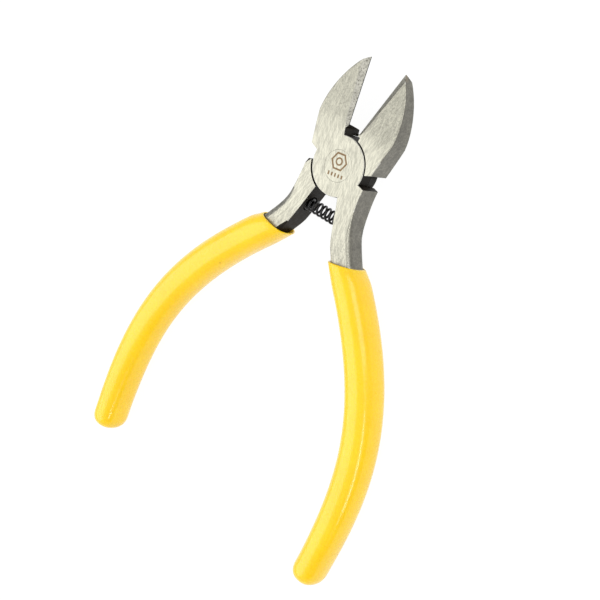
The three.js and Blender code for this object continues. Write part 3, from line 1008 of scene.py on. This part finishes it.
def dipped_vinyl():
    """Golden yellow dip: glossy, faintly uneven, with a few specks of dirt under the gloss."""
    sh = Shader("yellow_vinyl", IOR=1.45, Coat_Weight=0.4, Coat_Roughness=0.12,
                Subsurface_Weight=0.12, Subsurface_Scale=0.0012)
    sh.bsdf.inputs["Subsurface Radius"].default_value = (1.0, 0.55, 0.1)
    tone = sh.noise(0.009, detail=2)
    colour = sh.mix(sh.ramp(tone, 0.3, 0.7), VINYL_COLOUR, VINYL_DEEP)
    specks = sh.tree.nodes.new("ShaderNodeTexVoronoi")
    specks.inputs["Scale"].default_value = 1.0
    specks.inputs["Randomness"].default_value = 1.0
    sh.link(sh.turned(size=(DIRT_SPACING,) * 3), specks.inputs["Vector"])
    spot = sh.ramp(specks.outputs["Distance"], *DIRT_SIZE, 0.55, 0)
    few = sh.math("GREATER_THAN", sh.parts(specks.outputs["Color"])[0], DIRT_ABOVE)
    colour = sh.mix(sh.math("MULTIPLY", spot, few), colour, VINYL_DIRT)
    sh.feed("Base Color", colour)
    sh.feed("Roughness", sh.ramp(sh.noise(0.0013, detail=3), 0.25, 0.75, 0.22, 0.32))
    flow = sh.noise((0.004, 0.009, 0.004), detail=1)
    peel = sh.noise(0.0007, detail=2)
    sh.feed("Normal", sh.bump(peel, 0.000006, 0.25, sh.bump(flow, 0.00014, 0.3)))
    return sh.material


def white_floor():
    """A pale floor that glows evenly, so that it stays white under soft light."""
    sh = Shader("white_floor", Roughness=0.7)
    sh.bsdf.inputs["Base Color"].default_value = (*FLOOR_COLOUR, 1)
    sh.bsdf.inputs["Specular IOR Level"].default_value = 0.1
    sh.bsdf.inputs["Emission Color"].default_value = (1, 1, 1, 1)
    sh.bsdf.inputs["Emission Strength"].default_value = FLOOR_GLOW
    return sh.material


# ---- Stage, light and camera ----

FLOOR_HALF = 2.5
LIT_POINT = (0, -0.03, 0)
# name, direction from that point, distance, width, height, radiance, roll in degrees
SOFTBOXES = (
    ("key", (-0.55, -0.42, 0.76), 1.2, 1.4, 1.1, 1.68, 0),
    ("strip", (0.745, -0.12, 0.63), 1.2, 0.14, 0.72, 9.0, -45),
    ("overhead", (0.42, 0.52, 0.74), 1.5, 0.8, 0.8, 2.6, 0),
)
WORLD_LEVEL = 0.68
FLAG = (0.82, -0.28, 0.45)  # the way to the dark flag
FLAG_LEVEL = 0.25
FLAG_EDGE = (0.80, 0.95)  # cosines of the angles over which it comes in

CAMERA_TILT = 0.616156  # from straight above
CAMERA_TURN = 0.492001  # about Z
CAMERA_AT = (0.176400, 0.061724, 0.280961)
CAMERA_LENS = 92.05


def floor():
    low_z = CAD_BOX[0][2]
    bm = bmesh.new()
    half = FLOOR_HALF
    corners = [(-half, -half), (half, -half), (half, half), (-half, half)]
    bm.faces.new([bm.verts.new((x, y, low_z)) for x, y in corners])
    obj = new_object("floor", bm, [white_floor()])


def softbox(name, direction, distance, width, height, radiance, roll):
    """A rectangular area light that looks at the tool, with a set radiance."""
    data = bpy.data.lights.new(name, "AREA")
    data.shape = "RECTANGLE"
    data.size = width
    data.size_y = height
    data.energy = radiance * math.pi * width * height
    obj = bpy.data.objects.new(name, data)
    bpy.context.scene.collection.objects.link(obj)
    away = Vector(direction).normalized()
    turn = away.to_track_quat("Z", "Y").to_matrix().to_4x4()
    turn = turn @ Matrix.Rotation(math.radians(roll), 4, "Z")
    obj.matrix_world = Matrix.Translation(Vector(LIT_POINT) + away * distance) @ turn


def lights():
    """Three softboxes in an even white room, with a dark flag low on the right."""
    for values in SOFTBOXES:
        softbox(*values)
    world = bpy.data.worlds.new("studio")
    world.use_nodes = True
    tree = world.node_tree
    coords = tree.nodes.new("ShaderNodeTexCoord")
    toward = tree.nodes.new("ShaderNodeVectorMath")
    toward.operation = "DOT_PRODUCT"
    toward.inputs[1].default_value = Vector(FLAG).normalized()
    level = tree.nodes.new("ShaderNodeMapRange")
    level.interpolation_type = "SMOOTHSTEP"
    level.inputs["From Min"].default_value = FLAG_EDGE[0]
    level.inputs["From Max"].default_value = FLAG_EDGE[1]
    level.inputs["To Min"].default_value = WORLD_LEVEL
    level.inputs["To Max"].default_value = FLAG_LEVEL
    tree.links.new(coords.outputs["Generated"], toward.inputs[0])
    tree.links.new(toward.outputs["Value"], level.inputs["Value"])
    background = tree.nodes["Background"]
    background.inputs["Color"].default_value = (1.0, 1.0, 1.0, 1)
    tree.links.new(level.outputs["Result"], background.inputs["Strength"])
    bpy.context.scene.world = world
    bpy.context.scene.view_settings.view_transform = "Standard"


def camera():
    data = bpy.data.cameras.new("camera")
    data.lens = CAMERA_LENS
    data.sensor_width = 36.0
    data.clip_start = 0.01
    data.clip_end = 10.0
    obj = bpy.data.objects.new("camera", data)
    bpy.context.scene.collection.objects.link(obj)
    turn = Matrix.Rotation(CAMERA_TURN, 4, "Z") @ Matrix.Rotation(CAMERA_TILT, 4, "Y")
    obj.matrix_world = Matrix.Translation(CAMERA_AT) @ turn
    bpy.context.scene.camera = obj


# ---- Assembly ----


def assemble():
    marked = ground_steel("ground_steel_front", HALF_OPENING, True)
    plain = ground_steel("ground_steel_rear", -HALF_OPENING, False)
    walls = [forge_scale(), machined_steel(), edge_wear_and_highlight(), forged_steel(), ground_bevel()]
    vinyl = dipped_vinyl()

    front = lever("front_lever_detail", False, [marked] + walls)
    rear = lever("rear_lever_detail", True, [plain] + walls)
    pin = rivet([marked] * (MACHINED + 1))  # all its faces have the slot MACHINED
    wire = spring(black_wire())
    right = grip("right_grip_detail", False, vinyl)
    left = grip("left_grip_detail", True, vinyl)

    for obj, body, node, slot in (
        (front, "front_half", "front_lever", "ground_steel"),
        (pin, "front_half", "pivot_rivet", "rivet_steel"),
        (right, "front_half", "right_grip", "yellow_vinyl"),
        (rear, "rear_half", "rear_lever", "ground_steel"),
        (left, "rear_half", "left_grip", "yellow_vinyl"),
    ):
        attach(obj, body)
        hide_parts(node)
    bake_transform(wire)
    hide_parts("return_spring")


camera()
lights()
floor()
assemble()
